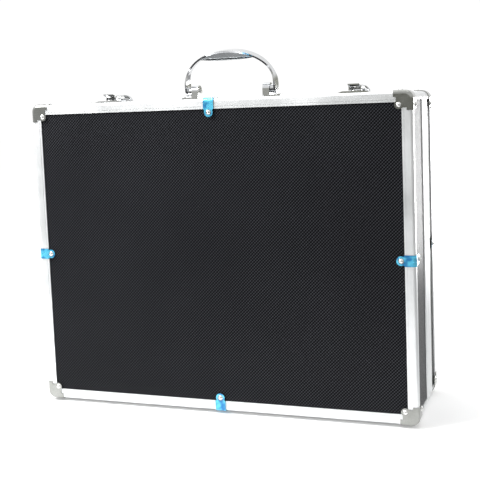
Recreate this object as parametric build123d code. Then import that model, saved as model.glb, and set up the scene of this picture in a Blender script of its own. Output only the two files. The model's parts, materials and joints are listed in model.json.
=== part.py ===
from build123d import *
import math
import os

# Art supply box: an aluminium-framed case standing on its hinge side, handle and latches on top.
# X is the width, Y runs from the face of the deep base half to the back of the lid, Z is up.
# The origin is on the ground, under the middle of the case.  All sizes are in millimetres.

# ---- whole case ----
CASE_WIDTH = 455.0
CASE_HEIGHT = 358.0
CASE_DEPTH = 136.0
BASE_DEPTH = 85.5           # face of the base half to the seam
GROUND_GAP = 4.0            # the feet hold the lowest profile this far off the ground
SEAM_GAP = 0.4
CORNER_RADIUS = 8.0         # seen from the front
EDGE_RADIUS = 3.0           # round the two large faces

LID_DEPTH = CASE_DEPTH - BASE_DEPTH
MIDDLE_Z = GROUND_GAP + CASE_HEIGHT / 2
TOP_Z = GROUND_GAP + CASE_HEIGHT
SEAM_Y = BASE_DEPTH - CASE_DEPTH / 2
DEPTHS = {"base": BASE_DEPTH, "lid": LID_DEPTH}
SIDES = ("top", "bottom", "left", "right")

# ---- walls ----
FLANGE = 11.5               # width of the aluminium edge on each face
SIDE_FLANGE = 9.5           # and of its return on the four sides
POST_WIDTH = 9.0            # width of a corner post on both sides it covers
SKIN = 1.2                  # aluminium thickness over the boards
BOARD = 3.2
CORE = SKIN + BOARD         # depth of the inside of a board below the outer surface
BOARD_END = 8.0             # a side board stops this far from the case corner
GROOVE_INSET = 2.2          # decorative groove, measured from the inner edge of a flange
GROOVE_WIDTH = 0.6
GROOVE_DEPTH = 0.4

# ---- rails at the seam ----
RAIL_WIDTH = 18.5
RAIL_THICKNESS = 6.5
RAIL_ROUNDING = 1.0
TONGUE_INSETS = (3.0, 4.2)
TONGUE_HEIGHT = 3.6
SLOT_INSETS = (2.5, 4.7)
SLOT_DEPTH = 4.6
TONGUE_START = 14.0         # the tongue leaves the hinge side free up to this height
SLOT_START = 12.0

# ---- corner caps and edge clips ----
CAP_THICKNESS = 1.0
CAP_ARM = 20.0
CAP_ARM_WIDTH = 4.8
CAP_WEB = 17.2              # side of the square between the arms
CAP_ROUNDING = 1.5
CAP_RIVET = 14.2            # from the case edges to a cap's rivet
CAP_LOBE = 4.7
CLIP_WIDTH = 12.4
CLIP_RIVET = 15.2
CLIP_LOBE = 5.2
FILM_THICKNESS = 0.15
PAD_RADIUS = 2.5            # boss that reaches from a cap or clip down to the board
WRAP = 6.0                  # depth of a cap or clip outline below the surface
OUTSIDE = 3.0               # how far cutters reach beyond the surface

# ---- fasteners ----
SHANK_RADIUS = 1.5
BALL_RADIUS = 2.9
BALL_HEIGHT = 1.9
FLAT_RADIUS = 2.3
FLAT_HEIGHT = 0.9
FLAT_SHANK = 3.6

# ---- handle ----
HANDLE_Y = SEAM_Y - RAIL_WIDTH / 2
HANDLE_LEAN = 10.0          # degrees towards the base face
HANDLE_PIVOT = 10.0         # height above the rail
HANDLE_HALF_SPAN = 57.0
HANDLE_SPRING_HEIGHT = 19.0 # where the straight legs become the arch
HANDLE_RISE = 39.0
STRAP = 2.2
FOOT_RADIUS = 6.0
GRIP_HALF_LENGTH = 33.0
GRIP_BOTTOM = 46.0
GRIP_HALF_WIDTH = 8.0
GRIP_ROUNDING = 4.0
BRACKET_INNER = 41.0
BRACKET_OUTER = 62.8
LUG_WIDTH = 8.5
LUG_RADIUS = 7.0
BRACKET_PLATE = 2.5
PIVOT_RADIUS = 2.0
RUNNING_CLEARANCE = 0.05

# ---- latches, each drawn from the seam (Y) and the rail surface (Z) ----
LATCH_X = 153.5
LATCH_PLATE_HEIGHT = 2.6
LATCH_PLATE_HALF_WIDTH = 19.0
LATCH_PLATE_TOP_HALF_WIDTH = 13.0
LATCH_PLATE_FRONT = -33.0
LATCH_PLATE_BACK = -1.5
LEVER_PIVOT_Y = -6.5
LEVER_PIVOT_Z = 5.6
LEVER_PIN_RADIUS = 1.2
LEVER_HALF_WIDTH = 7.4
LEVER_WALL = 1.2
LEVER_TOP = 9.1
LEVER_BOTTOM = 3.2
LEVER_FRONT = -24.0
EAR_OUTER = 5.8
BAIL_PIVOT_Y = -16.0
BAIL_PIVOT_Z = 4.9
BAIL_END_Y = 7.0
BAIL_END_Z = 3.4
BAIL_RADIUS = 1.1
BAIL_HALF_WIDTH = 8.8
KEEPER_HALF_WIDTH = 12.5
KEEPER_PLATE = 1.2
KEEPER_RAMP_HEIGHT = 2.0
KEEPER_DOME_HALF_WIDTH = 10.5
KEEPER_DOME_HEIGHT = 10.0
KEEPER_DOME_Y = (9.4, 17.2)

# ---- hinges ----
HINGE_X = 130.0
HINGE_LENGTH = 60.0
HINGE_LEAF = 1.2
HINGE_LEAF_REACH = 17.0
KNUCKLES = 5
KNUCKLE_RADIUS = 2.8
KNUCKLE_GAP = 0.3
HINGE_PIN_RADIUS = 1.4
HINGE_RECESS = 3.3

# ---- feet ----
FOOT_X = 182.0
FOOT_DISC_RADIUS = 8.0
FOOT_DISC_HEIGHT = GROUND_GAP + SKIN
FOOT_BORE = 4.2
FOOT_BORE_DEPTH = 2.4
FOOT_Y_IN_HALF = {"base": 23.0, "lid": (FLANGE + LID_DEPTH - RAIL_WIDTH) / 2}

# ---- inside ----
LINING = 2.0
FIT_GAP = 0.2
INSERT_WALL = 2.4
INSERT_BACK_OFF = 6.0       # the insert stays this far below the seam
INSERT_COLUMN = 105.0       # width of the compartments at both ends
INSERT_END_ROWS = 3
INSERT_MIDDLE_ROWS = 2


# ---------------------------------------------------------------- basic shapes

def block(x_range, y_range, z_range):
    """A box between two corners."""
    size = [high - low for low, high in (x_range, y_range, z_range)]
    middle = [(low + high) / 2 for low, high in (x_range, y_range, z_range)]
    return Pos(*middle) * Box(*size)


def slab(inset, start, end):
    """The case outline, moved inwards by inset, as a prism from y=start to y=end."""
    radius = max(CORNER_RADIUS - inset, 0.6)
    outline = RectangleRounded(CASE_WIDTH - 2 * inset, CASE_HEIGHT - 2 * inset, radius)
    return Pos(0, end, MIDDLE_Z) * Rot(90, 0, 0) * extrude(outline, amount=end - start)


def ring(outer_inset, inner_inset, start, end):
    """A frame that runs all round the case between two insets."""
    return slab(outer_inset, start, end) - slab(inner_inset, start - 1, end + 1)


def rounded_half(grow, depth):
    """The outside of one half, grown by a thickness, with its face edges rounded."""
    body = slab(-grow, -grow, depth)
    return fillet(body.edges().group_by(Axis.Y)[0], EDGE_RADIUS + grow)


def mitre_wedge(side):
    """The part of a mitred frame that belongs to one side of the case."""
    reach = 30.0
    along_x = side in ("top", "bottom")
    half_long = (CASE_WIDTH if along_x else CASE_HEIGHT) / 2
    half_short = (CASE_HEIGHT if along_x else CASE_WIDTH) / 2
    outline = [(-half_long + reach, half_short - reach), (half_long - reach, half_short - reach),
               (half_long + OUTSIDE, half_short + OUTSIDE), (-half_long - OUTSIDE, half_short + OUTSIDE)]
    turn = {"top": 0, "right": -90, "bottom": 180, "left": 90}[side]
    wedge = extrude(Polygon(*outline, align=None), amount=CASE_DEPTH + 2 * OUTSIDE)
    return Pos(0, CASE_DEPTH + OUTSIDE, MIDDLE_Z) * Rot(90, 0, 0) * Rot(0, 0, turn) * wedge


def place(half, shape):
    """Moves a shape drawn in a half (face at y=0, inside towards +Y) into the case."""
    if half == "base":
        return Pos(0, -CASE_DEPTH / 2, 0) * shape
    return Pos(0, CASE_DEPTH / 2, 0) * mirror(shape, about=Plane.XZ)


def in_four_corners(shape):
    """Turns a shape from the top right corner into all four, named by their places."""
    at_origin = Pos(-CASE_WIDTH / 2, 0, -TOP_Z) * shape
    places = {"top_right": (1, 1, 0), "bottom_right": (1, -1, 90),
              "bottom_left": (-1, -1, 180), "top_left": (-1, 1, 270)}
    return {name: Pos(sx * CASE_WIDTH / 2, 0, MIDDLE_Z + sz * CASE_HEIGHT / 2) * Rot(0, turn, 0) * at_origin
            for name, (sx, sz, turn) in places.items()}


def facing(normal, position, shape):
    """Turns a shape drawn along +Z so that it points along a normal, and moves it."""
    return Plane(origin=position, z_dir=normal) * shape


# ---------------------------------------------------------------- fasteners

def ball_rivet():
    """Domed rivet, its head on z=0 and its shank through cap, gap and board."""
    sphere_radius = (BALL_RADIUS ** 2 + BALL_HEIGHT ** 2) / (2 * BALL_HEIGHT)
    dome = Pos(0, 0, BALL_HEIGHT - sphere_radius) * Sphere(sphere_radius)
    head = dome & (Pos(0, 0, BALL_HEIGHT / 2) * Cylinder(BALL_RADIUS + 1, BALL_HEIGHT))
    length = CAP_THICKNESS + CORE
    return head + Pos(0, 0, -length / 2) * Cylinder(SHANK_RADIUS, length)


def flat_rivet():
    """Low round rivet, its head on z=0."""
    head = Pos(0, 0, FLAT_HEIGHT / 2) * Cylinder(FLAT_RADIUS, FLAT_HEIGHT)
    head = fillet(head.edges().group_by(Axis.Z)[-1], FLAT_HEIGHT / 2)
    return head + Pos(0, 0, -FLAT_SHANK / 2) * Cylinder(SHANK_RADIUS, FLAT_SHANK)


def cap_rivet_sites():
    """Position on the cap's surface and outward normal of every cap rivet of a half."""
    across = CASE_WIDTH / 2 - CAP_RIVET
    up = CASE_HEIGHT / 2 - CAP_RIVET
    sites = []
    for sx in (-1, 1):
        for sz in (-1, 1):
            z_inner = MIDDLE_Z + sz * up
            z_outer = MIDDLE_Z + sz * (CASE_HEIGHT / 2 + CAP_THICKNESS)
            sites.append(((sx * across, -CAP_THICKNESS, z_inner), (0, -1, 0)))
            sites.append(((sx * (CASE_WIDTH / 2 + CAP_THICKNESS), CAP_RIVET, z_inner), (sx, 0, 0)))
            sites.append(((sx * across, CAP_RIVET, z_outer), (0, 0, sz)))
    return sites


def clip_rivet_sites():
    """The same for the clips in the middle of the four edges."""
    sites = []
    for s in (-1, 1):
        z_inner = MIDDLE_Z + s * (CASE_HEIGHT / 2 - CLIP_RIVET)
        z_outer = MIDDLE_Z + s * (CASE_HEIGHT / 2 + CAP_THICKNESS)
        sites.append(((0, -CAP_THICKNESS, z_inner), (0, -1, 0)))
        sites.append(((0, CLIP_RIVET, z_outer), (0, 0, s)))
        x_inner = s * (CASE_WIDTH / 2 - CLIP_RIVET)
        x_outer = s * (CASE_WIDTH / 2 + CAP_THICKNESS)
        sites.append(((x_inner, -CAP_THICKNESS, MIDDLE_Z), (0, -1, 0)))
        sites.append(((x_outer, CLIP_RIVET, MIDDLE_Z), (s, 0, 0)))
    return sites


def drill(shape, sites, radius=SHANK_RADIUS):
    """Cuts holes for fasteners through a shape."""
    bit = Cylinder(radius, 4 * CORE)
    return shape - [facing(normal, position, bit) for position, normal in sites]


def facing_sites(sites, normal):
    """The sites that face one way."""
    return [site for site in sites if site[1] == normal]


# ---------------------------------------------------------------- walls of a half

def face_board(sites):
    return drill(slab(CORE, SKIN, CORE), facing_sites(sites, (0, -1, 0)))


def side_boards(depth, sites):
    """Four flat boards between the corner posts."""
    end = depth - RAIL_WIDTH
    half_x = CASE_WIDTH / 2
    x_wall = (half_x - CORE, half_x - SKIN)
    x_long = (BOARD_END - half_x, half_x - BOARD_END)
    z_long = (GROUND_GAP + BOARD_END, TOP_Z - BOARD_END)
    left_wall = (-x_wall[1], -x_wall[0])
    boards = {
        "top": (block(x_long, (CORE, end), (TOP_Z - CORE, TOP_Z - SKIN)), (0, 0, 1)),
        "bottom": (block(x_long, (CORE, end), (GROUND_GAP + SKIN, GROUND_GAP + CORE)), (0, 0, -1)),
        "right": (block(x_wall, (CORE, end), z_long), (1, 0, 0)),
        "left": (block(left_wall, (CORE, end), z_long), (-1, 0, 0)),
    }
    return {side: drill(board, facing_sites(sites, normal)) for side, (board, normal) in boards.items()}


def edge_profiles(depth):
    """Mitred L profiles round the face, with a groove near each inner edge."""
    frame = ring(0, FLANGE, 0, SKIN) + ring(0, SKIN, 0, SIDE_FLANGE) + ring(0, CORE, 0, CORE)
    face_groove = FLANGE - GROOVE_INSET
    side_groove = SIDE_FLANGE - GROOVE_INSET
    frame -= ring(face_groove - GROOVE_WIDTH, face_groove, -1, GROOVE_DEPTH)
    frame -= ring(-1, GROOVE_DEPTH, side_groove - GROOVE_WIDTH, side_groove)
    frame &= rounded_half(0, depth)
    return {side: frame & mitre_wedge(side) for side in SIDES}


def corner_posts(depth):
    """Four short angle profiles that run in depth, with a core between the boards."""
    end = depth - RAIL_WIDTH
    tall = (-CASE_HEIGHT, 2 * CASE_HEIGHT)
    wide = (-CASE_WIDTH, CASE_WIDTH)
    deep = (-CASE_DEPTH, 2 * CASE_DEPTH)

    def corners_only(shape, size):
        half_x = CASE_WIDTH / 2 - size
        shape -= block((-half_x, half_x), deep, tall)
        return shape - block(wide, deep, (GROUND_GAP + size, TOP_Z - size))

    outside = corners_only(ring(0, SKIN, SIDE_FLANGE, end), POST_WIDTH)
    core = corners_only(ring(SKIN, CORE, CORE, end), BOARD_END)
    return outside + core


def hinge_zone(height):
    """The lowest part of the case, up to a height above its underside."""
    return block((-CASE_WIDTH, CASE_WIDTH), (0, CASE_DEPTH), (0, GROUND_GAP + height))


def rim_rails(half):
    """The mitred rails at the seam: a slot in the base, a tongue on the lid."""
    depth = DEPTHS[half]
    start = depth - RAIL_WIDTH
    end = depth - SEAM_GAP / 2
    body = slab(0, start, end)
    ends = body.edges().group_by(Axis.Y)
    body = fillet(ends[0] + ends[-1], RAIL_ROUNDING)
    rails = body - slab(RAIL_THICKNESS, start - 1, end + 1)
    rails -= ring(-1, GROOVE_DEPTH, start + GROOVE_INSET, start + GROOVE_INSET + GROOVE_WIDTH)
    if half == "base":
        rails -= ring(*SLOT_INSETS, end - SLOT_DEPTH, end + 1) - hinge_zone(SLOT_START)
    else:
        rails += ring(*TONGUE_INSETS, end - 1, end + TONGUE_HEIGHT) - hinge_zone(TONGUE_START)
    recess = Rot(0, 90, 0) * Cylinder(HINGE_RECESS, HINGE_LENGTH + 2)
    for side in (-1, 1):
        rails -= Pos(side * HINGE_X, depth, GROUND_GAP) * recess
    return {side: rails & mitre_wedge(side) for side in SIDES}


# ---------------------------------------------------------------- caps and clips

def shell(depth, inner, outer):
    """A skin of even thickness round the outside of one half."""
    return rounded_half(outer, depth) - rounded_half(inner, depth + OUTSIDE)


def bosses(sites, height):
    """Short posts that reach from a cap or clip down to the board below it."""
    post = Pos(0, 0, -height / 2) * Cylinder(PAD_RADIUS, height)
    return [facing(normal, position, post) for position, normal in sites]


def cap_prism():
    """Cap on one face, drawn inwards from the case corner: a square, two arms and a lobe."""
    reach = OUTSIDE + CAP_ARM
    reach_middle = (CAP_ARM - OUTSIDE) / 2
    width = OUTSIDE + CAP_ARM_WIDTH
    width_middle = (CAP_ARM_WIDTH - OUTSIDE) / 2
    web = OUTSIDE + CAP_WEB
    web_middle = (CAP_WEB - OUTSIDE) / 2
    outline = Pos(reach_middle, width_middle) * RectangleRounded(reach, width, CAP_ROUNDING)
    outline += Pos(width_middle, reach_middle) * RectangleRounded(width, reach, CAP_ROUNDING)
    outline += Pos(web_middle, web_middle) * Rectangle(web, web)
    outline += Pos(CAP_RIVET, CAP_RIVET) * Circle(CAP_LOBE)
    return Pos(0, 0, -OUTSIDE) * extrude(outline, amount=OUTSIDE + WRAP)


def corner_cap(skin, sites):
    """Three-way cap on the top right corner of a half."""
    prism = cap_prism()
    diagonal = Axis((0, 0, 0), (1, 1, 1))
    region = prism + prism.rotate(diagonal, 120) + prism.rotate(diagonal, 240)
    region = Pos(CASE_WIDTH / 2, 0, TOP_Z) * Rot(0, 180, 0) * region
    own_sites = [site for site in sites if site[0][0] > 0 and site[0][2] > MIDDLE_Z]
    cap = (skin & region) + bosses(own_sites, CAP_THICKNESS + SKIN)
    return drill(cap, own_sites)


def clip_region():
    """Clip outline on the two faces that meet at an edge along X, drawn inwards from that edge."""
    half = CLIP_WIDTH / 2
    neck = CLIP_RIVET - CLIP_LOBE / 2
    outline = Polygon((-half, -OUTSIDE), (half, -OUTSIDE), (half, FLANGE), (CLIP_LOBE * 0.9, neck),
                      (-CLIP_LOBE * 0.9, neck), (-half, FLANGE), align=None)
    outline += Pos(0, CLIP_RIVET) * Circle(CLIP_LOBE)
    prism = Pos(0, 0, -OUTSIDE) * extrude(outline, amount=OUTSIDE + WRAP)
    return prism + mirror(prism, about=Plane(origin=(0, 0, 0), z_dir=(0, 1, -1)))


def on_four_edges(shape):
    """Copies a piece from the middle of the top edge to the middle of all four."""
    at_origin = Pos(0, 0, -TOP_Z) * shape
    half_x = CASE_WIDTH / 2
    return [shape,
            Pos(0, 0, GROUND_GAP) * Rot(0, 180, 0) * at_origin,
            Pos(half_x, 0, MIDDLE_Z) * Rot(0, 90, 0) * at_origin,
            Pos(-half_x, 0, MIDDLE_Z) * Rot(0, -90, 0) * at_origin]


def top_clip_pieces(depth, skin, sites):
    """The clip in the middle of the top edge and the protective film that still covers it."""
    region = Pos(0, 0, TOP_Z) * Rot(0, 180, 0) * clip_region()
    own_sites = [site for site in sites if site[0][0] == 0 and site[0][2] > MIDDLE_Z]
    clip = (skin & region) + bosses(own_sites, CAP_THICKNESS + SKIN)
    film = shell(depth, CAP_THICKNESS, CAP_THICKNESS + FILM_THICKNESS) & region
    return drill(clip, own_sites), drill(film, own_sites, BALL_RADIUS + 0.3)


# ---------------------------------------------------------------- handle

def handle_arch():
    """Bent strap, wide at the feet, narrow in the legs and wide again under the hand."""
    def arch_area(inset):
        half_span = HANDLE_HALF_SPAN - inset
        arch = Pos(0, HANDLE_SPRING_HEIGHT) * Ellipse(half_span, HANDLE_RISE - inset)
        arch &= Pos(0, HANDLE_SPRING_HEIGHT + CASE_HEIGHT / 2) * Rectangle(CASE_WIDTH, CASE_HEIGHT)
        legs_low = HANDLE_PIVOT - FOOT_RADIUS
        height = HANDLE_SPRING_HEIGHT - legs_low
        return arch + Pos(0, legs_low + height / 2) * Rectangle(2 * half_span, height)

    strap = Rot(90, 0, 0) * extrude(arch_area(0) - arch_area(STRAP), amount=CASE_DEPTH, both=True)
    crown = HANDLE_SPRING_HEIGHT + HANDLE_RISE
    side_points = [(7.5, HANDLE_PIVOT + 4), (4.6, 32.0), (6.2, 44.0), (9.6, crown - 1), (9.8, crown + 4)]
    right = Spline(side_points, tangents=[(0, 1), (0, 1)])
    left = mirror(right, about=Plane.YZ)
    foot = Pos(0, HANDLE_PIVOT) * (Circle(FOOT_RADIUS) + Pos(0, 2) * Rectangle(15, 4))
    top_line = Line((9.8, crown + 4), (-9.8, crown + 4))
    low_line = Line((7.5, HANDLE_PIVOT + 4), (-7.5, HANDLE_PIVOT + 4))
    width = make_face([right, left, top_line, low_line]) + foot
    strap &= Rot(0, 0, 90) * Rot(90, 0, 0) * extrude(width, amount=CASE_WIDTH, both=True)
    boss_length = HANDLE_HALF_SPAN - BRACKET_INNER - LUG_WIDTH - 0.4
    boss = Rot(0, 90, 0) * Cylinder(FOOT_RADIUS - 1, boss_length)
    for side in (-1, 1):
        strap += Pos(side * (HANDLE_HALF_SPAN - boss_length / 2), 0, HANDLE_PIVOT) * boss
    bore = Rot(0, 90, 0) * Cylinder(PIVOT_RADIUS + RUNNING_CLEARANCE, 2 * CASE_WIDTH)
    return lean(strap - Pos(0, 0, HANDLE_PIVOT) * bore)


def handle_grip():
    """Moulded pad under the crown of the strap, thickest in the middle."""
    under = HANDLE_RISE - STRAP
    end_z = HANDLE_SPRING_HEIGHT + under * math.sqrt(
        1 - (GRIP_HALF_LENGTH / (HANDLE_HALF_SPAN - STRAP)) ** 2)
    lens = Pos(0, HANDLE_SPRING_HEIGHT) * Ellipse(HANDLE_HALF_SPAN - STRAP, under)
    belly = ThreePointArc((-GRIP_HALF_LENGTH, end_z), (0, GRIP_BOTTOM), (GRIP_HALF_LENGTH, end_z))
    cover = make_face([belly, Polyline((GRIP_HALF_LENGTH, end_z), (GRIP_HALF_LENGTH, 80),
                                       (-GRIP_HALF_LENGTH, 80), (-GRIP_HALF_LENGTH, end_z))])
    grip = Rot(90, 0, 0) * extrude(lens & cover, amount=GRIP_HALF_WIDTH, both=True)
    height = 2 * (HANDLE_SPRING_HEIGHT + HANDLE_RISE - GRIP_BOTTOM)
    section = Pos(0, GRIP_BOTTOM + height / 2) * RectangleRounded(2 * GRIP_HALF_WIDTH, height, GRIP_ROUNDING)
    return lean(grip & (Rot(0, 0, 90) * Rot(90, 0, 0) * extrude(section, amount=CASE_WIDTH, both=True)))


def lean(shape):
    """Tips the handle forwards about its pivots and stands it on the rail."""
    low = Pos(0, 0, -HANDLE_PIVOT) * shape
    return Pos(0, HANDLE_Y, TOP_Z + HANDLE_PIVOT) * Rot(HANDLE_LEAN, 0, 0) * low


def handle_bracket(side):
    """Plate on the rail with an upright lug beside the handle's foot."""
    plate = block((BRACKET_INNER, BRACKET_OUTER), (-8.5, 8.5), (0, BRACKET_PLATE))
    plate = fillet(plate.edges().filter_by(Axis.Z), 2.0)
    middle = BRACKET_INNER + LUG_WIDTH / 2
    lug = Pos(middle, 0, HANDLE_PIVOT) * Rot(0, 90, 0) * Cylinder(LUG_RADIUS, LUG_WIDTH)
    lug += block((BRACKET_INNER, BRACKET_INNER + LUG_WIDTH), (-LUG_RADIUS, LUG_RADIUS), (0, HANDLE_PIVOT))
    bracket = plate + lug
    bracket -= Pos(middle, 0, HANDLE_PIVOT) * Rot(0, 90, 0) * Cylinder(PIVOT_RADIUS, 2 * LUG_WIDTH)
    bracket = Pos(0, HANDLE_Y, TOP_Z) * bracket
    if side < 0:
        bracket = mirror(bracket, about=Plane.YZ)
    return drill(bracket, [site for site in handle_rivet_sites() if site[0][0] * side > 0])


def handle_pins():
    """One pin per foot, fast in the lug and free in the foot."""
    start = BRACKET_INNER + 1.0
    length = HANDLE_HALF_SPAN + 0.6 - start
    pin = Rot(0, 90, 0) * Cylinder(PIVOT_RADIUS, length)
    return [Pos(side * (start + length / 2), HANDLE_Y, TOP_Z + HANDLE_PIVOT) * pin for side in (-1, 1)]


def handle_rivet_sites():
    """Rivet heads on the outer end of each bracket plate."""
    x = HANDLE_HALF_SPAN + 2.9
    z = TOP_Z + BRACKET_PLATE
    return [((side * x, HANDLE_Y + dy, z), (0, 0, 1)) for side in (-1, 1) for dy in (-5.5, 5.5)]


# ---------------------------------------------------------------- latches

def on_latch(side, shape):
    """Moves a piece drawn from the seam and the rail surface to one of the two latches."""
    return Pos(side * LATCH_X, SEAM_Y, TOP_Z) * shape


def from_side(outline, half_width):
    """Extrudes an outline drawn in Y and Z by the same amount to both sides."""
    return Rot(0, 0, 90) * Rot(90, 0, 0) * extrude(outline, amount=half_width, both=True)


def from_front(outline, y_range):
    """Extrudes an outline drawn in X and Z from one Y to another."""
    return Pos(0, y_range[1], 0) * Rot(90, 0, 0) * extrude(outline, amount=y_range[1] - y_range[0])


def latch_plate():
    """Low plate with sloping sides, and two ears for the lever."""
    low = LATCH_PLATE_HALF_WIDTH
    top = LATCH_PLATE_TOP_HALF_WIDTH
    section = Polygon((-low, 0), (low, 0), (low, 0.6), (top, LATCH_PLATE_HEIGHT),
                      (-top, LATCH_PLATE_HEIGHT), (-low, 0.6), align=None)
    plate = from_front(section, (LATCH_PLATE_FRONT, LATCH_PLATE_BACK))
    step_back = -RAIL_WIDTH - 0.2
    plate += block((-low + 2, low - 2), (LATCH_PLATE_FRONT, step_back), (-SKIN, 0.6))
    outline = Pos(LEVER_PIVOT_Y, LEVER_PIVOT_Z) * Circle(2.0)
    outline += Pos(LEVER_PIVOT_Y, LEVER_PIVOT_Z / 2) * Rectangle(3.2, LEVER_PIVOT_Z)
    ears = from_side(outline, EAR_OUTER) - block((-EAR_OUTER + LEVER_WALL, EAR_OUTER - LEVER_WALL),
                                                 (-CASE_DEPTH, CASE_DEPTH), (LATCH_PLATE_HEIGHT, TOP_Z))
    plate += ears
    return plate - lever_axis(LEVER_PIN_RADIUS)


def lever_axis(radius):
    """Cylinder on the lever's pivot, wider than the latch."""
    return Pos(0, LEVER_PIVOT_Y, LEVER_PIVOT_Z) * Rot(0, 90, 0) * Cylinder(radius, 40)


def latch_lever():
    """Folded channel over the bail's ends, with a narrower turned-up finger tab."""
    back = LEVER_PIVOT_Y + 1.5
    cheek = Pos((LEVER_FRONT + LEVER_PIVOT_Y) / 2, (LEVER_BOTTOM + LEVER_TOP) / 2) * Rectangle(
        LEVER_PIVOT_Y - LEVER_FRONT, LEVER_TOP - LEVER_BOTTOM)
    cheek += Pos(LEVER_PIVOT_Y, LEVER_PIVOT_Z) * Circle(LEVER_PIVOT_Z - LEVER_BOTTOM)
    cheek += Pos((LEVER_PIVOT_Y + back) / 2, LEVER_TOP - LEVER_WALL / 2) * Rectangle(
        back - LEVER_PIVOT_Y, LEVER_WALL)
    channel = from_side(cheek, LEVER_HALF_WIDTH)
    channel = fillet(channel.edges().filter_by(Axis.Y).group_by(Axis.Z)[-1], 1.0)
    inside = LEVER_HALF_WIDTH - LEVER_WALL
    channel -= block((-inside, inside), (-CASE_DEPTH, CASE_DEPTH), (0, LEVER_TOP - LEVER_WALL))
    tab_low = LEVER_TOP - LEVER_WALL
    tab = Polygon((LEVER_FRONT + 1, tab_low), (LEVER_FRONT + 1, LEVER_TOP),
                  (LEVER_FRONT - 3, LEVER_TOP + 0.4),
                  (LEVER_FRONT - 7, LEVER_TOP + 1.7), (LEVER_FRONT - 7, LEVER_TOP + 0.4),
                  (LEVER_FRONT - 3, tab_low + 0.2), align=None)
    lever = channel + from_side(tab, LEVER_HALF_WIDTH - 0.6)
    lever -= lever_axis(LEVER_PIN_RADIUS + RUNNING_CLEARANCE)
    bore = Rot(0, 90, 0) * Cylinder(BAIL_RADIUS + RUNNING_CLEARANCE, 40)
    return lever - Pos(0, BAIL_PIVOT_Y, BAIL_PIVOT_Z) * bore


def latch_bail():
    """Bent wire loop: two turned-in ends, two legs and the bar that holds the keeper."""
    end_x = EAR_OUTER + 0.3
    wide = BAIL_HALF_WIDTH
    route = [(-end_x, BAIL_PIVOT_Y, BAIL_PIVOT_Z), (-wide, BAIL_PIVOT_Y, BAIL_PIVOT_Z),
             (-wide, BAIL_END_Y, BAIL_END_Z), (wide, BAIL_END_Y, BAIL_END_Z),
             (wide, BAIL_PIVOT_Y, BAIL_PIVOT_Z), (end_x, BAIL_PIVOT_Y, BAIL_PIVOT_Z)]
    path = FilletPolyline(*route, radius=[1.15, 3.0, 3.0, 1.15])
    return sweep(Plane(origin=path @ 0, z_dir=path % 0) * Circle(BAIL_RADIUS), path=path)


def latch_keeper():
    """Plate on the lid with a shallow ramp under the bail's bar and a rounded housing behind it."""
    front = SEAM_GAP / 2 + 0.6
    wide = KEEPER_HALF_WIDTH
    keeper = block((-wide, wide), (front, KEEPER_DOME_Y[1] + 0.6), (0, KEEPER_PLATE))
    keeper = fillet(keeper.edges().filter_by(Axis.Z), 1.5)
    ramp = Polygon((4.2, KEEPER_PLATE), (6.0, KEEPER_RAMP_HEIGHT), (8.0, KEEPER_RAMP_HEIGHT),
                   (9.6, KEEPER_PLATE), (9.6, 0.4), (4.2, 0.4), align=None)
    keeper += from_side(ramp, BAIL_HALF_WIDTH - BAIL_RADIUS - 1)
    dome = Ellipse(KEEPER_DOME_HALF_WIDTH, KEEPER_DOME_HEIGHT) & (Pos(0, 50) * Rectangle(100, 100))
    dome = from_front(dome, KEEPER_DOME_Y)
    dome = fillet(dome.edges().group_by(Axis.Y)[-1].filter_by(GeomType.LINE, reverse=True), 3.0)
    return keeper + dome


def latch_plate_rivet_sites():
    z = TOP_Z + LATCH_PLATE_HEIGHT
    return [((side * LATCH_X, SEAM_Y + y, z), (0, 0, 1)) for side in (-1, 1) for y in (-28.0, -13.0)]


def keeper_rivet_sites():
    z = TOP_Z + KEEPER_PLATE
    return [((side * LATCH_X + dx, SEAM_Y + 4.5, z), (0, 0, 1)) for side in (-1, 1) for dx in (-9.8, 9.8)]


# ---------------------------------------------------------------- hinges

def hinge_leaf(half):
    """Leaf riveted on the hinge side, rolled into alternate knuckles."""
    direction = -1 if half == "base" else 1
    pitch = HINGE_LENGTH / KNUCKLES
    first = 0 if half == "base" else 1
    reach = sorted((direction * HINGE_RECESS, direction * HINGE_LEAF_REACH))
    leaf = block((-HINGE_LENGTH / 2, HINGE_LENGTH / 2), reach, (-HINGE_LEAF, 0))
    leaf = fillet(leaf.edges().filter_by(Axis.Z).group_by(Axis.Y)[0 if half == "base" else -1], 3.0)
    strip = sorted((0, direction * (HINGE_RECESS + 1)))
    bore = HINGE_PIN_RADIUS + (0 if half == "base" else RUNNING_CLEARANCE)
    for index in range(first, KNUCKLES, 2):
        low = -HINGE_LENGTH / 2 + index * pitch + KNUCKLE_GAP / 2
        high = low + pitch - KNUCKLE_GAP
        leaf += block((low, high), strip, (-HINGE_LEAF, 0))
        knuckle = Cylinder(KNUCKLE_RADIUS, high - low)
        leaf += Pos((low + high) / 2, 0, 0) * Rot(0, 90, 0) * knuckle
    leaf -= Rot(0, 90, 0) * Cylinder(bore, 2 * HINGE_LENGTH)
    sites = hinge_rivet_sites(half)
    return [drill(Pos(side * HINGE_X, SEAM_Y, GROUND_GAP) * leaf, sites) for side in (-1, 1)]


def hinge_rivet_sites(half):
    direction = -1 if half == "base" else 1
    y = SEAM_Y + direction * (HINGE_RECESS + HINGE_LEAF_REACH) / 2
    return [((side * HINGE_X + dx, y, GROUND_GAP - HINGE_LEAF), (0, 0, -1))
            for side in (-1, 1) for dx in (-22.0, 0.0, 22.0)]


def hinge_pins():
    pin = Rot(0, 90, 0) * Cylinder(HINGE_PIN_RADIUS, HINGE_LENGTH)
    return [Pos(side * HINGE_X, SEAM_Y, GROUND_GAP) * pin for side in (-1, 1)]


# ---------------------------------------------------------------- feet

def foot_positions(half):
    return [(side * FOOT_X, FOOT_Y_IN_HALF[half], 0) for side in (-1, 1)]


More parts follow.
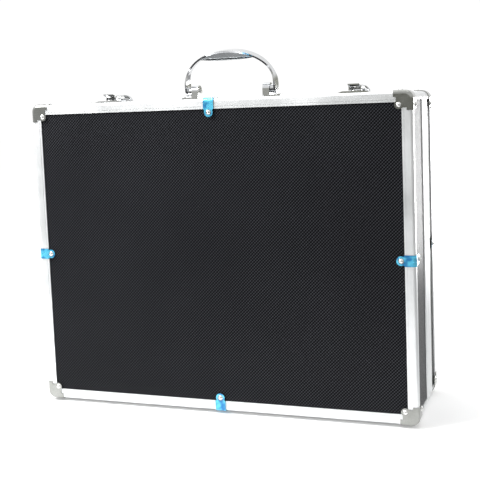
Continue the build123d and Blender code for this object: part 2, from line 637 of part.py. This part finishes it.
def feet(half):
    """Round rubber feet, counterbored for their screws."""
    disc = Pos(0, 0, FOOT_DISC_HEIGHT / 2) * Cylinder(FOOT_DISC_RADIUS, FOOT_DISC_HEIGHT)
    disc = fillet(disc.edges().group_by(Axis.Z)[0], 0.8)
    disc -= Pos(0, 0, FOOT_BORE_DEPTH / 2) * Cylinder(FOOT_BORE, FOOT_BORE_DEPTH)
    disc -= Cylinder(SHANK_RADIUS, 4 * FOOT_DISC_HEIGHT)
    return [Pos(*position) * disc for position in foot_positions(half)]


def foot_screws(half):
    """Round-headed screws up through the feet into the boards."""
    length = FOOT_DISC_HEIGHT - FOOT_BORE_DEPTH + BOARD
    screw = Pos(0, 0, FOOT_BORE_DEPTH + length / 2) * Cylinder(SHANK_RADIUS, length)
    head = Pos(0, 0, FOOT_BORE_DEPTH - 0.7) * Cylinder(FOOT_BORE - 0.8, 1.4)
    slot = block((-5, 5), (-0.4, 0.4), (FOOT_BORE_DEPTH - 2, FOOT_BORE_DEPTH - 0.7))
    screw += fillet(head.edges().group_by(Axis.Z)[0], 0.5)
    return [Pos(*position) * (screw - slot) for position in foot_positions(half)]


def foot_screw_sites(half):
    return [((x, y, GROUND_GAP), (0, 0, -1)) for x, y, _ in foot_positions(half)]


# ---------------------------------------------------------------- inside

def lining(depth):
    """Foam sheets on the inside of the face board and of the four side boards."""
    inset = CORE + FIT_GAP
    walls = ring(inset, inset + LINING, CORE + LINING, depth - RAIL_WIDTH - FIT_GAP)
    return [slab(inset, CORE, CORE + LINING)] + [walls & mitre_wedge(side) for side in SIDES]


def insert_pockets():
    """Inside of every compartment, as (x range, z range): small ones at both ends, large between."""
    inset = RAIL_THICKNESS + 2 * FIT_GAP + INSERT_WALL
    end_x = CASE_WIDTH / 2 - inset
    column_x = end_x - INSERT_COLUMN
    middle_x = column_x - INSERT_WALL
    low = GROUND_GAP + inset
    high = TOP_Z - inset
    columns = [((-end_x, -column_x), INSERT_END_ROWS), ((-middle_x, middle_x), INSERT_MIDDLE_ROWS),
               ((column_x, end_x), INSERT_END_ROWS)]
    pockets = []
    for x_range, rows in columns:
        height = (high - low - (rows - 1) * INSERT_WALL) / rows
        for row in range(rows):
            z = low + row * (height + INSERT_WALL)
            pockets.append((x_range, (z, z + height)))
    return pockets


def compartment_insert():
    """Moulded tray with open compartments, fixed in the base half."""
    start = CORE + LINING
    end = BASE_DEPTH - INSERT_BACK_OFF
    tray = slab(RAIL_THICKNESS + 2 * FIT_GAP, start, end)
    for x_range, z_range in insert_pockets():
        pocket = block(x_range, (start + INSERT_WALL, end + 5), z_range)
        tray -= fillet(pocket.edges().filter_by(Axis.Y), 6.0)
    return tray


# ---------------------------------------------------------------- assembly

def half_nodes(half):
    """Every piece of one half except its hardware, by name."""
    depth = DEPTHS[half]
    rivet_sites = cap_rivet_sites() + clip_rivet_sites()
    board_sites = rivet_sites + foot_screw_sites(half)
    skin = shell(depth, 0, CAP_THICKNESS)
    nodes = {"face_board": face_board(rivet_sites), "corner_posts": corner_posts(depth)}
    for side, board in side_boards(depth, board_sites).items():
        nodes[side + "_board"] = board
    for side, profile in edge_profiles(depth).items():
        nodes[side + "_edge_profile"] = profile
    for corner, cap in in_four_corners(corner_cap(skin, cap_rivet_sites())).items():
        nodes["cap_" + corner] = cap
    clip, film = top_clip_pieces(depth, skin, clip_rivet_sites())
    nodes["edge_clips"] = on_four_edges(clip)
    nodes["clip_films"] = on_four_edges(film)
    nodes["lining"] = lining(depth)
    nodes["feet"] = feet(half)
    return nodes


def fasteners(half):
    """Rivets and screws of one half, drawn in the half."""
    rivet = ball_rivet()
    sites = cap_rivet_sites() + clip_rivet_sites()
    return [facing(normal, position, rivet) for position, normal in sites] + foot_screws(half)


def hardware_fasteners(half):
    """Rivets of handle, latches and hinges, and the lever pins, drawn in the case."""
    sites = hinge_rivet_sites(half)
    sites += handle_rivet_sites() + latch_plate_rivet_sites() if half == "base" else keeper_rivet_sites()
    pieces = [facing(normal, position, flat_rivet()) for position, normal in sites]
    if half == "base":
        pin = Pos(0, LEVER_PIVOT_Y, LEVER_PIVOT_Z) * Rot(0, 90, 0) * Cylinder(
            LEVER_PIN_RADIUS, 2 * LEVER_HALF_WIDTH)
        pieces += [on_latch(side, pin) for side in (-1, 1)]
    return pieces, sites


def rail_nodes(half, sites):
    """The long rails (top and bottom) and the short rails (left and right)."""
    rails = rim_rails(half)
    placed = {side: place(half, rail) for side, rail in rails.items()}
    up = [site for site in sites if site[1] == (0, 0, 1)]
    down = [site for site in sites if site[1] == (0, 0, -1)]
    return {"long_rails": [drill(placed["top"], up), drill(placed["bottom"], down)],
            "short_rails": [placed["left"], placed["right"]]}


def solids_of(shape):
    """All solids of a shape or of a list of shapes."""
    if isinstance(shape, (list, tuple, ShapeList)):
        return [solid for item in shape for solid in solids_of(item)]
    return list(shape.solids())


def write(name, shape):
    solids = solids_of(shape)
    export_step(solids[0] if len(solids) == 1 else Compound(solids), f"parts/{name}.step")


def all_nodes():
    nodes = {}
    for half in ("base", "lid"):
        for name, shape in half_nodes(half).items():
            nodes[f"{half}_{name}"] = [place(half, solid) for solid in solids_of(shape)]
        hardware, sites = hardware_fasteners(half)
        nodes[f"{half}_fasteners"] = [place(half, piece) for piece in fasteners(half)] + hardware
        for name, shape in rail_nodes(half, sites).items():
            nodes[f"{half}_{name}"] = shape
        nodes[f"{half}_hinge_leaves"] = hinge_leaf(half)
    nodes["hinge_pins"] = hinge_pins()
    nodes["compartment_insert"] = place("base", compartment_insert())
    nodes["handle_arch"] = handle_arch()
    nodes["handle_grip"] = handle_grip()
    nodes["handle_pins"] = handle_pins()
    for side, word in ((-1, "left"), (1, "right")):
        nodes["handle_bracket_" + word] = handle_bracket(side)
        own_rivets = [site for site in latch_plate_rivet_sites() if site[0][0] * side > 0]
        nodes["latch_plate_" + word] = drill(on_latch(side, latch_plate()), own_rivets)
        nodes["latch_lever_" + word] = on_latch(side, latch_lever())
        nodes["latch_bail_" + word] = on_latch(side, latch_bail())
        keeper_sites = [site for site in keeper_rivet_sites() if site[0][0] * side > 0]
        nodes["latch_keeper_" + word] = drill(on_latch(side, latch_keeper()), keeper_sites)
    return nodes


os.makedirs("parts", exist_ok=True)
for node_name, node_shape in all_nodes().items():
    write(node_name, node_shape)
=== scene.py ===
import json
import math

import bmesh
import bpy
from mathutils import Matrix, Vector, noise


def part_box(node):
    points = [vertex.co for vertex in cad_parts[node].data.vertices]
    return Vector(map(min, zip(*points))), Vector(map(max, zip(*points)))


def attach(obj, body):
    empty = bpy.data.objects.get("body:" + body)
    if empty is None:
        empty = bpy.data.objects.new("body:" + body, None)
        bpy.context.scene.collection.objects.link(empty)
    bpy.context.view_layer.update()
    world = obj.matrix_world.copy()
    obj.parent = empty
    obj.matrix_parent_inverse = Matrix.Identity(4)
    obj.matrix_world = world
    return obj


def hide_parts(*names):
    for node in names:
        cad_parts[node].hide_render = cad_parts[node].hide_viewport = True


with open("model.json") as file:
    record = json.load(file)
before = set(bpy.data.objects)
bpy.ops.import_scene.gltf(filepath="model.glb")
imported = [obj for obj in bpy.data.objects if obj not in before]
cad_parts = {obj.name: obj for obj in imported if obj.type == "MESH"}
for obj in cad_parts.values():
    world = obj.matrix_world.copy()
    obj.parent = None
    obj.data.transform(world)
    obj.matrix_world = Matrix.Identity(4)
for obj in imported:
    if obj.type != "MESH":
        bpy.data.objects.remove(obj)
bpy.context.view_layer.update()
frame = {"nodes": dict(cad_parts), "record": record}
NODES = frame["nodes"]
MM = 0.001

# ---------------------------------------------------------------- camera

SENSOR_WIDTH = 36.0
LENS_PER_SENSOR_WIDTH = 885.33 / 480
CAMERA_SHIFT = (-0.05276, -0.10402)
CAMERA_PLACE = (0.3744, -0.98945, 0.35121)
CAMERA_REACH = 50.0
# the camera's right, up and back
CAMERA_AXES = (
    (0.94798706, 0.31620662, -0.03652279),
    (0.00464659, 0.10098081, 0.99487752),
    (0.31827496, -0.94330072, 0.09425922),
)


def make_camera():
    data = bpy.data.cameras.new("camera")
    data.sensor_width = SENSOR_WIDTH
    data.lens = LENS_PER_SENSOR_WIDTH * SENSOR_WIDTH
    data.shift_x, data.shift_y = CAMERA_SHIFT
    data.clip_end = CAMERA_REACH
    camera = bpy.data.objects.new("camera", data)
    bpy.context.scene.collection.objects.link(camera)
    rotation = Matrix(CAMERA_AXES).transposed().to_4x4()
    camera.matrix_world = Matrix.Translation(CAMERA_PLACE) @ rotation
    bpy.context.scene.camera = camera


# ---------------------------------------------------------------- node helpers

# sockets of a Mix node, which has a set for each data type
MIX_FACTOR = 0
MIX_NUMBERS = (2, 3)
MIX_NUMBER_OUT = 0
MIX_COLOURS = (6, 7)
MIX_COLOUR_OUT = 2


class Graph:
    """Short ways to build a shader graph."""

    def __init__(self, tree):
        self.tree = tree
        tree.nodes.clear()

    def node(self, kind, **settings):
        made = self.tree.nodes.new(kind)
        for name, value in settings.items():
            setattr(made, name, value)
        return made

    def link(self, source, target):
        """Feeds a socket from another socket, a number, or a vector or opaque colour."""
        if isinstance(source, tuple):
            target.default_value = (*source, 1.0) if target.type == "RGBA" else source
        elif isinstance(source, (int, float)):
            target.default_value = source
        else:
            self.tree.links.new(source, target)

    def math(self, operation, *values):
        made = self.node("ShaderNodeMath", operation=operation)
        for socket, value in zip(made.inputs, values):
            self.link(value, socket)
        return made.outputs[0]

    def position(self):
        return self.node("ShaderNodeTexCoord").outputs["Object"]

    def split(self, vector):
        """The x, y and z of a vector."""
        made = self.node("ShaderNodeSeparateXYZ")
        self.link(vector, made.inputs[0])
        return made.outputs

    def scaled(self, vector, factors):
        made = self.node("ShaderNodeVectorMath", operation="MULTIPLY")
        self.link(vector, made.inputs[0])
        self.link(factors, made.inputs[1])
        return made.outputs[0]

    def weighted(self, first, share, second):
        """The first value in its share, and the second in the rest."""
        rest = self.math("MULTIPLY", second, 1 - share)
        return self.math("ADD", self.math("MULTIPLY", first, share), rest)

    def noise(self, vector, scale, detail=3.0, roughness=0.55):
        made = self.node("ShaderNodeTexNoise")
        self.link(vector, made.inputs["Vector"])
        made.inputs["Scale"].default_value = scale
        made.inputs["Detail"].default_value = detail
        made.inputs["Roughness"].default_value = roughness
        return made.outputs[0]

    def ramp(self, value, low, high, to_low=0.0, to_high=1.0, smooth=False):
        made = self.node("ShaderNodeMapRange")
        made.interpolation_type = "SMOOTHSTEP" if smooth else "LINEAR"
        self.link(value, made.inputs["Value"])
        made.inputs["From Min"].default_value = low
        made.inputs["From Max"].default_value = high
        made.inputs["To Min"].default_value = to_low
        made.inputs["To Max"].default_value = to_high
        return made.outputs[0]

    def mix(self, factor, first, second):
        made = self.node("ShaderNodeMix", data_type="RGBA")
        self.link(factor, made.inputs[MIX_FACTOR])
        for socket, colour in zip(MIX_COLOURS, (first, second)):
            self.link(colour, made.inputs[socket])
        return made.outputs[MIX_COLOUR_OUT]

    def mix_numbers(self, factor, first, second):
        made = self.node("ShaderNodeMix", data_type="FLOAT")
        self.link(factor, made.inputs[MIX_FACTOR])
        for socket, number in zip(MIX_NUMBERS, (first, second)):
            self.link(number, made.inputs[socket])
        return made.outputs[MIX_NUMBER_OUT]

    def bump(self, height, distance, strength=1.0, normal=None):
        made = self.node("ShaderNodeBump")
        made.inputs["Strength"].default_value = strength
        made.inputs["Distance"].default_value = distance
        self.link(height, made.inputs["Height"])
        if normal is not None:
            self.link(normal, made.inputs["Normal"])
        return made.outputs[0]


def material(name, **constants):
    """A Principled material with constant socket values; returns it, its graph and the sockets."""
    made = bpy.data.materials.new(name)
    made.use_nodes = True
    graph = Graph(made.node_tree)
    shader = graph.node("ShaderNodeBsdfPrincipled")
    output = graph.node("ShaderNodeOutputMaterial")
    graph.tree.links.new(shader.outputs[0], output.inputs[0])
    for key, value in constants.items():
        graph.link(value, shader.inputs[key.replace("_", " ")])
    return made, graph, shader.inputs


# ---------------------------------------------------------------- studio

WORLD_STRENGTH = 1.05
WALL_COLOUR = (1.0, 1.0, 1.0)
ROOM_COLOUR = (0.33, 0.33, 0.28)
FLOOR_HALF_SIZE = 15.0
# painted light: the lighter floor patch under and behind the case, which also glows
PAINTED_LIGHT_FLOOR_TONES = ((0.70, 0.70, 0.70), (0.74, 0.74, 0.74))
# painted shade: the greyer floor in front of and to the right of the case, seen in the metal as a dark room
PAINTED_SHADE_FLOOR_TONE = (0.34, 0.34, 0.345)
# painted light: the glow strength of the floor patch, though the floor is no lamp
PAINTED_FLOOR_GLOW = 0.24
PAINTED_GLOW_PATCH_SLANT = 0.08          # the right edge of the glowing painted-light patch turns left towards the back

# name, place, target, size in metres, power in watts
LIGHTS = (
    ("key", (-0.60, -0.40, 0.95), (-0.15, 0, 0.28), (0.5, 0.5), 23),
    ("top", (0.0, 0.3, 2.2), (0, 0, 0.2), (2.0, 2.0), 12),
    ("side_glare", (0.46, 0.95, 0.19), (0.26, 0, 0.19), (0.28, 0.38), 3.2),
)


def make_world():
    world = bpy.data.worlds.new("studio")
    world.use_nodes = True
    graph = Graph(world.node_tree)
    direction = graph.node("ShaderNodeTexCoord").outputs["Generated"]
    x, y, z = graph.split(direction)
    # the unlit room lies in front of the face and to the right, near the horizon
    in_front = graph.ramp(y, -0.35, 0.05, 1.0, 0.0, smooth=True)
    not_left = graph.ramp(x, -0.75, -0.15, smooth=True)
    low = graph.ramp(z, 0.05, 0.27, 1.0, 0.0, smooth=True)
    ahead = graph.math("MULTIPLY", in_front, not_left)
    right = graph.ramp(x, 0.15, 0.34, smooth=True)
    dark = graph.math("MULTIPLY", graph.math("MAXIMUM", ahead, right), low)
    background = graph.node("ShaderNodeBackground")
    graph.link(graph.mix(dark, WALL_COLOUR, ROOM_COLOUR), background.inputs["Color"])
    background.inputs["Strength"].default_value = WORLD_STRENGTH
    output = graph.node("ShaderNodeOutputWorld")
    graph.tree.links.new(background.outputs[0], output.inputs[0])
    bpy.context.scene.world = world


def area_light(name, place, target, size, power):
    data = bpy.data.lights.new(name, "AREA")
    data.shape = "RECTANGLE"
    data.size, data.size_y = size
    data.energy = power
    light = bpy.data.objects.new(name, data)
    bpy.context.scene.collection.objects.link(light)
    light.visible_camera = False
    light.location = place
    light.rotation_mode = "QUATERNION"
    light.rotation_quaternion = (Vector(target) - Vector(place)).to_track_quat("-Z", "Y")


def make_floor():
    mesh = bpy.data.meshes.new("floor")
    made = bmesh.new()
    bmesh.ops.create_grid(made, x_segments=2, y_segments=2, size=FLOOR_HALF_SIZE)
    made.to_mesh(mesh)
    made.free()
    floor = bpy.data.objects.new("floor", mesh)
    bpy.context.scene.collection.objects.link(floor)
    floor_material, graph, sockets = material("floor", Roughness=0.9)
    place = graph.position()
    x, y, _ = graph.split(place)
    # the painted-light patch lies under the case and behind it, lighter and glowing; the rest of the floor
    # is greyer as painted shade
    front = graph.ramp(y, -0.70, -0.26, smooth=True)
    slant = graph.math("ADD", x, graph.math("MULTIPLY", y, PAINTED_GLOW_PATCH_SLANT))
    right = graph.ramp(slant, 0.305, 0.37, 1.0, 0.0, smooth=True)
    painted_light_mask = graph.math("MULTIPLY", front, right)
    tone = graph.mix(graph.noise(place, 3.0), *PAINTED_LIGHT_FLOOR_TONES)
    graph.link(graph.mix(painted_light_mask, PAINTED_SHADE_FLOOR_TONE, tone), sockets["Base Color"])
    # painted light: the floor patch glows white
    sockets["Emission Color"].default_value = (1.0, 1.0, 1.0, 1.0)
    graph.link(graph.math("MULTIPLY", painted_light_mask, PAINTED_FLOOR_GLOW), sockets["Emission Strength"])
    mesh.materials.append(floor_material)


# ---------------------------------------------------------------- materials

DOT_PITCH = 3.6 * MM
DOT_HEIGHT = 0.18 * MM
FACES_AXIS = 0.7            # least share of a normal along the axis that a board faces


def aluminium(name, along):
    """Satin anodised extrusion: fine drawing lines along one axis, faint stains and wear."""
    made, graph, sockets = material(name, Metallic=1.0)
    place = graph.position()
    stretch = tuple(0.02 if axis == along else 1.0 for axis in "XYZ")
    lines = graph.noise(graph.scaled(place, stretch), 1300.0, 1.0)
    cloud = graph.noise(place, 18.0, 4.0)
    tone = graph.weighted(lines, 0.15, cloud)
    graph.link(graph.mix(graph.ramp(tone, 0.35, 0.65), (0.70, 0.715, 0.72), (0.80, 0.81, 0.815)),
               sockets["Base Color"])
    graph.link(graph.ramp(tone, 0.3, 0.7, 0.38, 0.52), sockets["Roughness"])
    graph.link(graph.bump(lines, 0.01 * MM, 0.05), sockets["Normal"])
    return made


def laminate(name):
    """Black laminate with small raised dots in a diamond lattice."""
    made, graph, sockets = material(name, Specular_IOR_Level=0.05)
    place = graph.position()
    turn = 2 * math.pi / DOT_PITCH
    x, y, z = [graph.math("MULTIPLY", part, turn) for part in graph.split(place)]
    normal_x, _, normal_z = graph.split(graph.node("ShaderNodeNewGeometry").outputs["True Normal"])
    on_side = graph.math("GREATER_THAN", graph.math("ABSOLUTE", normal_x), FACES_AXIS)
    on_top = graph.math("GREATER_THAN", graph.math("ABSOLUTE", normal_z), FACES_AXIS)
    first = graph.mix_numbers(on_side, x, y)
    second = graph.mix_numbers(on_top, z, y)
    rising = graph.math("COSINE", graph.math("SUBTRACT", first, second))
    falling = graph.math("COSINE", graph.math("ADD", first, second))
    lattice = graph.weighted(rising, 0.60, falling)
    dots = graph.ramp(lattice, -0.25, 0.95)
    grain = graph.noise(place, 900.0, 3.0)
    dust = graph.noise(place, 7.0, 4.0)
    tone = graph.math("MULTIPLY", dots, graph.ramp(dust, 0.3, 0.7, 0.75, 1.0))
    graph.link(graph.mix(tone, (0.0010, 0.0010, 0.0013), (0.042, 0.0435, 0.050)), sockets["Base Color"])
    graph.link(graph.ramp(grain, 0.3, 0.7, 0.30, 0.42), sockets["Roughness"])
    fine = graph.bump(grain, 0.02 * MM, 0.3)
    graph.link(graph.bump(dots, DOT_HEIGHT, 0.8, fine), sockets["Normal"])
    return made


def plated(name, low, high, rough_low, rough_high, wave=0.03):
    """Plated steel: slightly uneven sheet, fine scratches and small cloudy stains."""
    made, graph, sockets = material(name, Metallic=1.0)
    place = graph.position()
    cloud = graph.noise(place, 60.0, 4.0)
    scratches = graph.noise(graph.scaled(place, (1.0, 0.15, 0.4)), 1500.0, 2.0)
    tone = graph.weighted(cloud, 0.7, scratches)
    graph.link(graph.mix(graph.ramp(tone, 0.35, 0.65), low, high), sockets["Base Color"])
    graph.link(graph.ramp(tone, 0.3, 0.7, rough_low, rough_high), sockets["Roughness"])
    fine = graph.bump(scratches, 0.01 * MM, 0.3)
    graph.link(graph.bump(graph.noise(place, 220.0, 1.0), wave * MM, 0.6, fine), sockets["Normal"])
    return made


def film(name):
    """Blue protective film on bright metal: wrinkled, with lighter lifted folds."""
    made, graph, sockets = material(name, Metallic=0.55, Coat_Weight=0.6, Coat_Roughness=0.08)
    place = graph.position()
    fold = graph.noise(graph.scaled(place, (1.0, 0.8, 1.2)), 130.0, 1.0)
    crease = graph.math("ABSOLUTE", graph.math("SUBTRACT", graph.noise(place, 240.0, 1.0), 0.5))
    lifted = graph.ramp(fold, 0.36, 0.60, smooth=True)
    graph.link(graph.mix(lifted, (0.008, 0.17, 0.42), (0.09, 0.50, 0.72)), sockets["Base Color"])
    graph.link(graph.ramp(fold, 0.3, 0.7, 0.14, 0.28), sockets["Roughness"])
    soft = graph.bump(fold, 0.6 * MM, 0.6)
    graph.link(graph.bump(graph.ramp(crease, 0.0, 0.06), 0.12 * MM, 0.4, soft), sockets["Normal"])
    return made


def plastic(name, low, high, rough_low, rough_high, grain_scale=1400.0, depth=0.04):
    """Moulded or foamed material with a fine grain and slight shade changes."""
    made, graph, sockets = material(name, Specular_IOR_Level=0.45)
    place = graph.position()
    grain = graph.noise(place, grain_scale, 3.0)
    cloud = graph.noise(place, 25.0, 3.0)
    graph.link(graph.mix(graph.ramp(cloud, 0.35, 0.65), low, high), sockets["Base Color"])
    graph.link(graph.ramp(grain, 0.3, 0.7, rough_low, rough_high), sockets["Roughness"])
    graph.link(graph.bump(grain, depth * MM, 0.6), sockets["Normal"])
    return made


def materials_by_slot():
    return {
        "laminate": laminate("laminate"),
        "cap_chrome": plated("cap_plating", (0.26, 0.265, 0.25), (0.34, 0.345, 0.33), 0.14, 0.24),
        "blue_film": film("blue_film"),
        "rivet_steel": plated("rivet_plating", (0.62, 0.62, 0.61), (0.72, 0.72, 0.71), 0.06, 0.14, 0.01),
        "lining_foam": plastic("lining_foam", (0.015, 0.015, 0.016), (0.028, 0.028, 0.030),
                               0.85, 0.98, 900.0, 0.2),
        "foot_rubber": plastic("foot_rubber", (0.012, 0.012, 0.012), (0.022, 0.022, 0.022), 0.6, 0.8),
        "insert_plastic": plastic("insert_plastic", (0.02, 0.02, 0.021), (0.03, 0.03, 0.032), 0.4, 0.55),
        "grip_plastic": plated("grip_plating", (0.44, 0.46, 0.47), (0.56, 0.58, 0.59), 0.10, 0.20),
        "hardware_chrome": plated("hardware_plating", (0.56, 0.57, 0.58), (0.68, 0.69, 0.70), 0.05, 0.13),
        "hinge_steel": plated("hinge_steel", (0.50, 0.50, 0.50), (0.58, 0.58, 0.57), 0.22, 0.34),
    }


def drawn_along(name):
    """The axis that an aluminium node was drawn along."""
    low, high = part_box(name)
    if "posts" in name:
        return "Y"
    if "short" in name:
        return "Z"
    return max("XYZ", key=lambda axis: getattr(high, axis.lower()) - getattr(low, axis.lower()))


def paint_nodes(by_slot):
    aluminium_for = {axis: aluminium("aluminium_" + axis.lower(), axis) for axis in "XYZ"}
    for part in frame["record"]["subparts"]:
        name, slot = part["node"], part["material_slot"]
        chosen = aluminium_for[drawn_along(name)] if slot == "aluminium" else by_slot[slot]
        NODES[name].data.materials.clear()
        NODES[name].data.materials.append(chosen)


# ---------------------------------------------------------------- foam linings

FOAM = 2.0 * MM
FOAM_CELL = 7.0 * MM
FOAM_EDGE = 2.5 * MM
# heights in shares of the foam's thickness: at the rim, added inside it, and the waves'
RIM_SHARE, CROWN_SHARE, WAVE_SHARE = 0.35, 0.53, 0.10
WAVES_PER_METRE = 22.0


def foam_sheet(mesh, corner, along, across, inwards):
    """A closed, slightly uneven foam sheet with soft edges, laid on a wall."""
    length, width = along.length, across.length
    columns = max(4, round(length / FOAM_CELL))
    rows = max(4, round(width / FOAM_CELL))

    def spread(count, size):
        inner = [FOAM_EDGE + (size - 2 * FOAM_EDGE) * i / (count - 2) for i in range(count - 1)]
        return [0.0, FOAM_EDGE / 3] + inner + [size - FOAM_EDGE / 3, size]

    def height(u, v):
        edge = min(u, length - u, v, width - v)
        rounded = math.sqrt(max(0.0, 1 - (1 - min(edge / FOAM_EDGE, 1.0)) ** 2))
        wave = noise.noise(Vector((u, v, corner.x + corner.z)) * WAVES_PER_METRE)
        return FOAM * (RIM_SHARE + CROWN_SHARE * rounded + WAVE_SHARE * wave * rounded)

    us, vs = spread(columns, length), spread(rows, width)
    upper = [[mesh.verts.new(corner + along * (u / length) + across * (v / width) + inwards * height(u, v))
              for v in vs] for u in us]
    lower = [[mesh.verts.new(corner + along * (u / length) + across * (v / width)) for v in vs] for u in us]
    last_u, last_v = len(us) - 1, len(vs) - 1
    for i in range(last_u):
        for j in range(last_v):
            mesh.faces.new((upper[i][j], upper[i + 1][j], upper[i + 1][j + 1], upper[i][j + 1]))
            mesh.faces.new((lower[i][j], lower[i][j + 1], lower[i + 1][j + 1], lower[i + 1][j]))
    for i in range(last_u):
        mesh.faces.new((lower[i][0], lower[i + 1][0], upper[i + 1][0], upper[i][0]))
        mesh.faces.new((lower[i][last_v], upper[i][last_v], upper[i + 1][last_v], lower[i + 1][last_v]))
    for j in range(last_v):
        mesh.faces.new((lower[0][j], upper[0][j], upper[0][j + 1], lower[0][j + 1]))
        mesh.faces.new((lower[last_u][j], lower[last_u][j + 1], upper[last_u][j + 1], upper[last_u][j]))


def foam_lining(half, foam):
    """Five foam sheets that line the face and the four walls of a half."""
    low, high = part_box(half + "_lining")
    inwards = 1.0 if half == "base" else -1.0
    face_y = low.y if half == "base" else high.y
    deep = high.y - low.y - FOAM
    wall_y = face_y + inwards * FOAM
    wide, tall = high.x - low.x, high.z - low.z
    built = bmesh.new()
    foam_sheet(built, Vector((low.x, face_y, low.z)), Vector((wide, 0, 0)), Vector((0, 0, tall)),
               Vector((0, inwards, 0)))
    depth_run = Vector((0, inwards * deep, 0))
    foam_sheet(built, Vector((low.x + FOAM, wall_y, high.z)), Vector((wide - 2 * FOAM, 0, 0)), depth_run,
               Vector((0, 0, -1)))
    foam_sheet(built, Vector((low.x + FOAM, wall_y, low.z)), Vector((wide - 2 * FOAM, 0, 0)), depth_run,
               Vector((0, 0, 1)))
    foam_sheet(built, Vector((low.x, wall_y, low.z)), Vector((0, 0, tall)), depth_run, Vector((1, 0, 0)))
    foam_sheet(built, Vector((high.x, wall_y, low.z)), Vector((0, 0, tall)), depth_run, Vector((-1, 0, 0)))
    bmesh.ops.recalc_face_normals(built, faces=built.faces)
    mesh = bpy.data.meshes.new(half + "_foam_lining")
    built.to_mesh(mesh)
    built.free()
    mesh.shade_smooth()
    mesh.materials.append(foam)
    piece = bpy.data.objects.new(half + "_foam_lining", mesh)
    bpy.context.scene.collection.objects.link(piece)
    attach(piece, half)
    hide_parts(half + "_lining")


make_camera()
make_world()
for light_facts in LIGHTS:
    area_light(*light_facts)
make_floor()
materials = materials_by_slot()
paint_nodes(materials)
for half_name in ("base", "lid"):
    foam_lining(half_name, materials["lining_foam"])
bpy.context.scene.view_settings.view_transform = "Standard"
